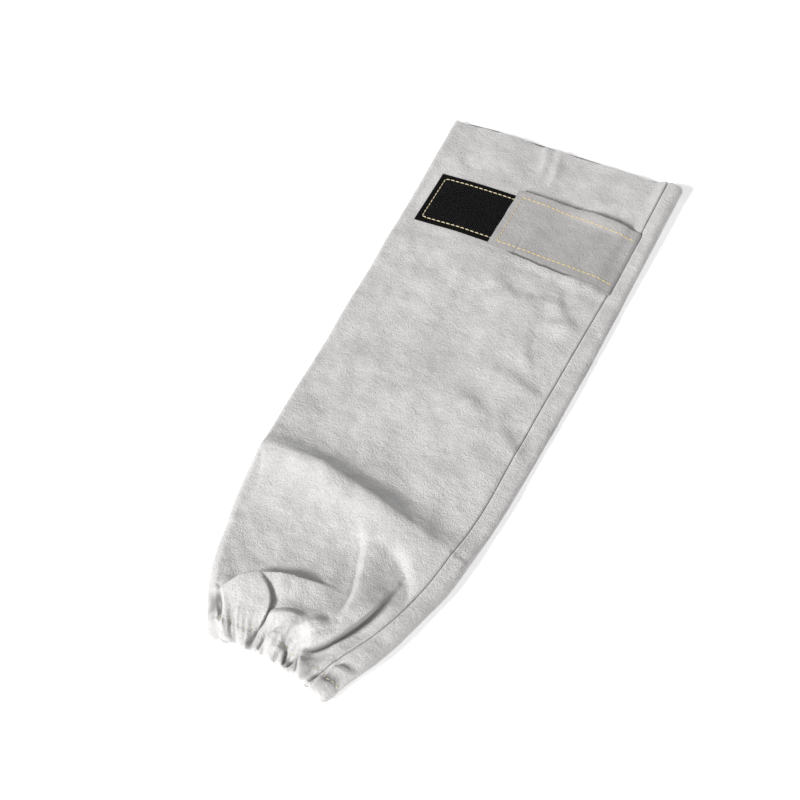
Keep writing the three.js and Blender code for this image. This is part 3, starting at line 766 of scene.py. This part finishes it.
def bent_wire(name, path, wire, sides):
    """A short bent thread or wire, by sweeping a round section along a path."""
    points = np.array(path, float)
    ahead = np.gradient(points, axis=0)
    ahead /= np.linalg.norm(ahead, axis=1)[:, None]
    side = np.array([0, 1.0, 0])
    rings, faces = [], []
    for p, a in zip(points, ahead):
        up = np.cross(a, side)
        for k in range(sides):
            turn = 2 * math.pi * k / sides
            rings.append(p + wire / 2 * (math.cos(turn) * side + math.sin(turn) * up))
    for j in range(len(points) - 1):
        for k in range(sides):
            n = (k + 1) % sides
            faces.append((j * sides + k, j * sides + n, (j + 1) * sides + n, (j + 1) * sides + k))
    faces.append(tuple(range(sides))[::-1])
    faces.append(tuple((len(points) - 1) * sides + k for k in range(sides)))
    mesh = bpy.data.meshes.new(name)
    mesh.from_pydata([tuple(r) for r in rings], [], faces)
    model = bpy.data.objects.new(name, mesh)
    bpy.context.scene.collection.objects.link(model)
    return model


hook_turns = np.linspace(0, 1.15 * math.pi, 6)
crook = 0.24 * mm
hook_path = [(0, 0, 0), (0, 0, hook_height - crook)]
for t in hook_turns[1:]:
    hook_path.append((crook * (1 - math.cos(t)), 0, hook_height - crook + crook * math.sin(t)))
rng = np.random.default_rng(11)
hook_x, hook_y = np.meshgrid(
    np.arange(patch_low.x + hook_margin, visible_end, hook_pitch.x),
    np.arange(patch_low.y + hook_margin, patch_high.y - hook_margin, hook_pitch.y))
hook_x = (hook_x + rng.normal(0, hook_scatter[0], hook_x.shape)).ravel()
hook_y = (hook_y + rng.normal(0, hook_scatter[1], hook_y.shape)).ravel()
hook_z = wall_height(hook_x, hook_y) + seat_gap + patch_base - hook_sunk
hook_turn = quarter_turn + rng.normal(0, hook_twist, hook_x.size) + math.pi * (rng.random(hook_x.size) < 0.5)
hooks = joined_copies("tape_hooks", bent_wire("hook", hook_path, hook_wire, 4),
                      np.column_stack([hook_x, hook_y, hook_z]),
                      np.column_stack([np.cos(hook_turn), np.sin(hook_turn)]))


def two_tones(nodes, links, surface, pattern, low, high, relief_depth):
    """Colours a surface in two tones by a pattern, and raises it by the same pattern."""
    tone = nodes.new("ShaderNodeMix")
    tone.data_type = "RGBA"
    tone.inputs["A"].default_value = (*low, 1)
    tone.inputs["B"].default_value = (*high, 1)
    links.new(pattern, tone.inputs["Factor"])
    links.new(tone.outputs["Result"], surface.inputs["Base Color"])
    bump = nodes.new("ShaderNodeBump")
    bump.inputs["Distance"].default_value = relief_depth
    links.new(pattern, bump.inputs["Height"])
    links.new(bump.outputs["Normal"], surface.inputs["Normal"])


def tape_material(name, colour, glint, size, rough):
    """Nylon tape: fine tufts with a slight gloss."""
    material, nodes, links, surface = new_material(name)
    tufts = nodes.new("ShaderNodeTexVoronoi")
    tufts.inputs["Scale"].default_value = 1 / size
    links.new(nodes.new("ShaderNodeTexCoord").outputs["Object"], tufts.inputs["Vector"])
    two_tones(nodes, links, surface, tufts.outputs["Distance"], colour, glint, 0.15 * mm)
    surface.inputs["Roughness"].default_value = rough
    surface.inputs["Specular IOR Level"].default_value = 0.1
    return material


black_nylon = tape_material("black_nylon_tape", (0.001, 0.001, 0.0011), (0.004, 0.004, 0.0045), 0.6 * mm, 0.7)
patch.data.materials.append(black_nylon)
hook_nylon, nodes, links, surface = new_material("hook_nylon")
surface.inputs["Base Color"].default_value = (0.05, 0.048, 0.054, 1)
surface.inputs["Roughness"].default_value = 0.4
hooks.data.materials.append(hook_nylon)
for piece in (patch, hooks):
    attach(piece, "root")
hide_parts("fastener_patch")

# The closure strap: a flat strip of the same leather, its root sewn into the seam and its free
# end resting on the patch. Loop tape is sewn under it with golden thread. Its cut edges wander a
# little, and its upper edge curls up.
tape_low, tape_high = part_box("strap_tape")
strap_leather = 1.4 * mm
strap_root_x = strap_high.x + 0.3 * mm
strap_y = (strap_low.y + strap_high.y) / 2
end_width = strap_high.y - strap_low.y - 5 * mm
root_width = strap_high.y - strap_low.y - 2 * mm
strap_columns, strap_rows = 150, 92
strap_about = 90 * mm
strap_curl = 3 * mm
strap_low_curl = 0.5 * mm
strap_step = 0.5 * mm
strap_root_dip = 1.3 * mm
step_down = 26 * mm
patch_top = 1.6 * mm
tape_thickness = 1.3 * mm
piece_gap = 0.3 * mm


def strap_lift(x):
    """How far the patch and the loop tape under the strap lift it at a place."""
    over_patch = (patch_top + piece_gap) * ease(1 - (x - patch_high.x) / step_down)
    over_tape = (tape_thickness + piece_gap) * ease(1 - (x - tape_high.x) / (20 * mm))
    return over_patch, over_tape


def strap_places(columns, rows):
    """The strap's under face: u from its free end to its root, v from its lower to its upper edge."""
    u, v = np.meshgrid(np.linspace(0, 1, columns), np.linspace(0, 1, rows))
    width = mix(end_width, root_width, u)
    edge = 2 * v - 1
    wander = 0.5 * mm * relief(u * strap_about, 0 * u + 1, 17 * mm, 4.5)
    wander += 0.25 * mm * relief(u * strap_about, 0 * u, 5 * mm, 9.5)
    y = strap_y + edge * (width / 2) + wander * np.abs(edge) ** 3 * np.sign(edge)
    root_x = section_under(strap_high.x + 0 * y, y)["seam_x"] - 0.1 * mm
    cut = 0.5 * mm * relief(v * 60 * mm, 0 * v, 15 * mm, 2.5) + 0.7 * mm * v
    x = mix(strap_low.x + cut, root_x, u)
    over_patch, over_tape = strap_lift(x)
    curl = strap_curl * ease((v - 0.8) / 0.2) * (hill(u - 0.72, 0.2) + 0.25 * np.sin(math.pi * u))
    curl += strap_low_curl * ease((0.12 - v) / 0.12) * np.sin(math.pi * u)
    step = strap_step * hill(x - patch_high.x - 1 * mm, 0.9 * mm) * ease((0.5 - v) / 0.4)
    root = strap_root_dip * ease((u - 0.985) / 0.015)
    waves = 0.25 * mm * relief(x, y, 26 * mm, 5.5) + 0.1 * mm * relief(x, y, 9 * mm, 6.5)
    z = wall_height(x, y) + piece_gap + over_patch + over_tape + curl - step - root + waves * (1 - u * 0.5)
    # painted shade: a dark line along the strap's lower edge where it lifts, standing in for the shadow in
    # the gap beneath
    lifted = ease((u - 0.14) / 0.08) * mix(1, 0.35, ease((u - 0.62) / 0.12))
    crease = 0.9 * lifted * hill(v * width, 0.8 * mm)
    return np.array([x, y, z, crease])


strap_under = strap_places(strap_columns, strap_rows)
strap = new_sheet("closure_strap_leather", strap_under, strap_columns, strap_rows, strap_leather, 1)
strap_suede = suede_material("strap_leather", (0.47, 0.458, 0.452), (0.29, 0.283, 0.28), 0.85, 0.8)
strap.data.materials.append(strap_suede)
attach(strap, "root")
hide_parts("closure_strap")

loop_columns, loop_rows = 60, 40
loop_thickness = 1.0 * mm
loop_places = laid_grid(tape_low, tape_high, loop_columns, loop_rows, 0)
over_patch, _ = strap_lift(loop_places[0])
loop_places[2] += piece_gap + over_patch
loop_tape = new_sheet("loop_tape", loop_places, loop_columns, loop_rows, loop_thickness, 1)
loop_nylon = tape_material("grey_loop_tape", (0.02, 0.02, 0.022), (0.05, 0.05, 0.052), 0.5 * mm, 0.8)
loop_tape.data.materials.append(loop_nylon)
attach(loop_tape, "root")
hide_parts("strap_tape")

# The lockstitches: cream thread on the patch and round the hem, golden thread on the strap. Each
# stitch is a short arch of thread whose two ends dive into the work.
stitch_length = 3.7 * mm
thread = 0.62 * mm
fine_thread = 0.42 * mm
stitch_stand, stitch_dive = 0.34, 0.8


def surface_of(piece):
    """A function that gives the height of a piece's upper face at a place."""
    tree = BVHTree.FromPolygons([v.co for v in piece.data.vertices],
                                [tuple(p.vertices) for p in piece.data.polygons])
    above, if_missed = 100 * mm, 10 * mm

    def height(x, y):
        hit = tree.ray_cast(Vector((x, y, above)), Vector((0, 0, -1)))[0]
        return hit.z if hit else if_missed
    return height


def stitch_row(name, marks, normals, colour, size=thread, share=0.84):
    """A row of stitches between marks along a seam line, each standing off its surface."""
    sides, steps = 8, np.linspace(-1, 1, 9)
    points, faces = [], []
    for a, b, out in zip(marks, marks[1:], normals):
        half = (b - a) / 2 * share
        across = np.cross(half, out)
        across /= np.linalg.norm(across)
        start = len(points)
        for t in steps:
            middle = (a + b) / 2 + half * t + out * size * (stitch_stand - stitch_dive * abs(t) ** 3.5)
            waist = size / 2 * (1 - 0.25 * t * t)
            for k in range(sides):
                turn = 2 * math.pi * k / sides
                points.append(middle + waist * (math.cos(turn) * across + math.sin(turn) * out))
        for j in range(len(steps) - 1):
            for k in range(sides):
                n = (k + 1) % sides
                corners = (j * sides + k, (j + 1) * sides + k, (j + 1) * sides + n, j * sides + n)
                faces.append([start + c for c in corners])
        faces.append([start + k for k in range(sides)])
        faces.append([start + (len(steps) - 1) * sides + k for k in range(sides)][::-1])
    mesh = bpy.data.meshes.new(name)
    mesh.from_pydata([tuple(p) for p in points], [], faces)
    piece = bpy.data.objects.new(name, mesh)
    bpy.context.scene.collection.objects.link(piece)
    bpy.ops.object.select_all(action="DESELECT")
    piece.select_set(True)
    bpy.context.view_layer.objects.active = piece
    bpy.ops.object.mode_set(mode="EDIT")
    bpy.ops.mesh.select_all(action="SELECT")
    bpy.ops.mesh.normals_make_consistent(inside=False)
    bpy.ops.object.mode_set(mode="OBJECT")
    bpy.ops.object.shade_smooth()
    piece.data.materials.append(colour)
    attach(piece, "root")
    return piece


def marks_along(points):
    """Evenly spaced marks, a stitch apart, along a line of points."""
    reached = np.concatenate([[0], np.cumsum(np.linalg.norm(np.diff(points, axis=0), axis=1))])
    at = np.linspace(0, reached[-1], max(2, round(reached[-1] / stitch_length)) + 1)
    return np.column_stack([np.interp(at, reached, points[:, k]) for k in range(3)])


def sewn_on(name, corners, height, colour, size=thread):
    """A row of stitches on a flat piece's upper face, along a line of corners."""
    marks = marks_along(np.array([(x, y, 0) for x, y in corners]))
    marks[:, 2] = [height(x, y) for x, y, _ in marks]
    return stitch_row(name, marks, [np.array([0, 0, 1.0])] * len(marks), colour, size)


def thread_material(name, light, dark):
    """Spun thread: a fine uneven ply in light and dark."""
    material, nodes, links, surface = new_material(name)
    ply = nodes.new("ShaderNodeTexNoise")
    ply.inputs["Scale"].default_value = 1600
    links.new(nodes.new("ShaderNodeTexCoord").outputs["Object"], ply.inputs["Vector"])
    two_tones(nodes, links, surface, ply.outputs["Fac"], dark, light, 0.1 * mm)
    surface.inputs["Roughness"].default_value = 0.6
    return material


cream = thread_material("cream_thread", (0.85, 0.76, 0.52), (0.5, 0.42, 0.25))
gold = thread_material("golden_thread", (0.80, 0.62, 0.26), (0.48, 0.35, 0.14))
patch_line = 4.1 * mm
strap_line = 5.5 * mm
strap_line_top = 6 * mm
strap_line_root = 8.5 * mm
strap_root_clear = 1.5 * mm
end_thread = 0.5 * mm
patch_top_at, strap_top_at = surface_of(patch), surface_of(strap)
left, right = patch_low.x + patch_line, visible_end + 2 * mm
low, high = patch_low.y + patch_line, patch_high.y - patch_line
corner = 0.9 * mm
patch_corners = [(right, high), (left + corner, high), (left, high - corner), (left, low + corner),
                 (left + corner, low), (right, low)]
sewn_on("patch_stitches", patch_corners, patch_top_at, cream)
strap_left = strap_low.x + strap_line
strap_right = strap_root_x - strap_root_clear
top_left = strap_y + end_width / 2 - strap_line_top
bottom_left = strap_y - end_width / 2 + strap_line
top_right = strap_y + root_width / 2 - strap_line_root
bottom_right = strap_y - root_width / 2 + strap_line_root
sewn_on("strap_stitches_upper", [(strap_left, top_left), (strap_right, top_right)], strap_top_at, gold)
sewn_on("strap_stitches_lower", [(strap_left, bottom_left), (strap_right, bottom_right)], strap_top_at, gold)
sewn_on("strap_stitches_end", [(strap_left, bottom_left), (strap_left, top_left)], strap_top_at, gold,
        end_thread)

hem_samples = 721
hem_stitch_share = 0.62
hem_round = np.linspace(0, 1, hem_samples)
hem_up = hem_round * 0 + hem_stitch_drop / sleeve_length
hem_line = wall_points(hem_round, hem_up, 0 * hem_round)[:3].T
hem_marks = marks_along(hem_line)
below = wall_points(hem_round, hem_up, 0 * hem_round + 1 * mm)[:3].T
outward = (hem_line - below) / np.linalg.norm(hem_line - below, axis=1)[:, None]
hem_middles = (hem_marks[:-1] + hem_marks[1:]) / 2
nearest = [int(np.argmin(np.linalg.norm(hem_line - m, axis=1))) for m in hem_middles]
stitch_row("hem_stitches", hem_marks, outward[nearest], cream, fine_thread, hem_stitch_share)

# The table and the light of a plain studio: a white floor that glows a little, so its shadow stays
# faint, a large soft lamp low on the viewer's left, and a weak one opposite.
bpy.ops.object.select_all(action="DESELECT")
floor_size = 60
floor_drop = 0.02 * mm
bpy.ops.mesh.primitive_plane_add(size=floor_size, location=(0, 0, -floor_drop))
floor = bpy.context.object
floor.name = "floor"
white, nodes, links, surface = new_material("white_floor")
surface.inputs["Base Color"].default_value = (0.93, 0.93, 0.93, 1)
surface.inputs["Roughness"].default_value = 0.9
surface.inputs["Specular IOR Level"].default_value = 0
surface.inputs["Emission Color"].default_value = (1, 1, 1, 1)
surface.inputs["Emission Strength"].default_value = 0.4
floor.data.materials.append(white)


def soft_lamp(name, place, size, power):
    """A square lamp that points at the middle of the table."""
    lamp = bpy.data.lights.new(name, "AREA")
    lamp.size = size
    lamp.energy = power
    holder = bpy.data.objects.new(name, lamp)
    bpy.context.scene.collection.objects.link(holder)
    holder.location = place
    holder.rotation_euler = (-Vector(place)).to_track_quat("-Z", "Y").to_euler()


soft_lamp("key", (-3.6, -6.6, 4.9), size=1.9, power=1210)
soft_lamp("fill", (2.6, 0.2, 1.6), size=1.6, power=18)
sky = bpy.data.worlds.new("studio")
sky.use_nodes = True
sky.node_tree.nodes["Background"].inputs["Color"].default_value = (1, 1, 1, 1)
sky.node_tree.nodes["Background"].inputs["Strength"].default_value = 0.3
bpy.context.scene.world = sky
bpy.context.scene.view_settings.view_transform = "Standard"

camera_azimuth = math.radians(25.2)
camera_elevation = math.radians(52.7)
camera_distance = 1.054
camera_target = Vector((-16.5, -20.5, 0)) * mm
back = Vector((math.sin(camera_azimuth) * math.cos(camera_elevation),
               -math.cos(camera_azimuth) * math.cos(camera_elevation), math.sin(camera_elevation)))
lens = bpy.data.cameras.new("camera")
lens.sensor_width = 36
lens.lens = 72.2
camera = bpy.data.objects.new("camera", lens)
bpy.context.scene.collection.objects.link(camera)
camera.location = camera_target + camera_distance * back
camera.rotation_euler = (-back).to_track_quat("-Z", "Y").to_euler()
bpy.context.scene.camera = camera
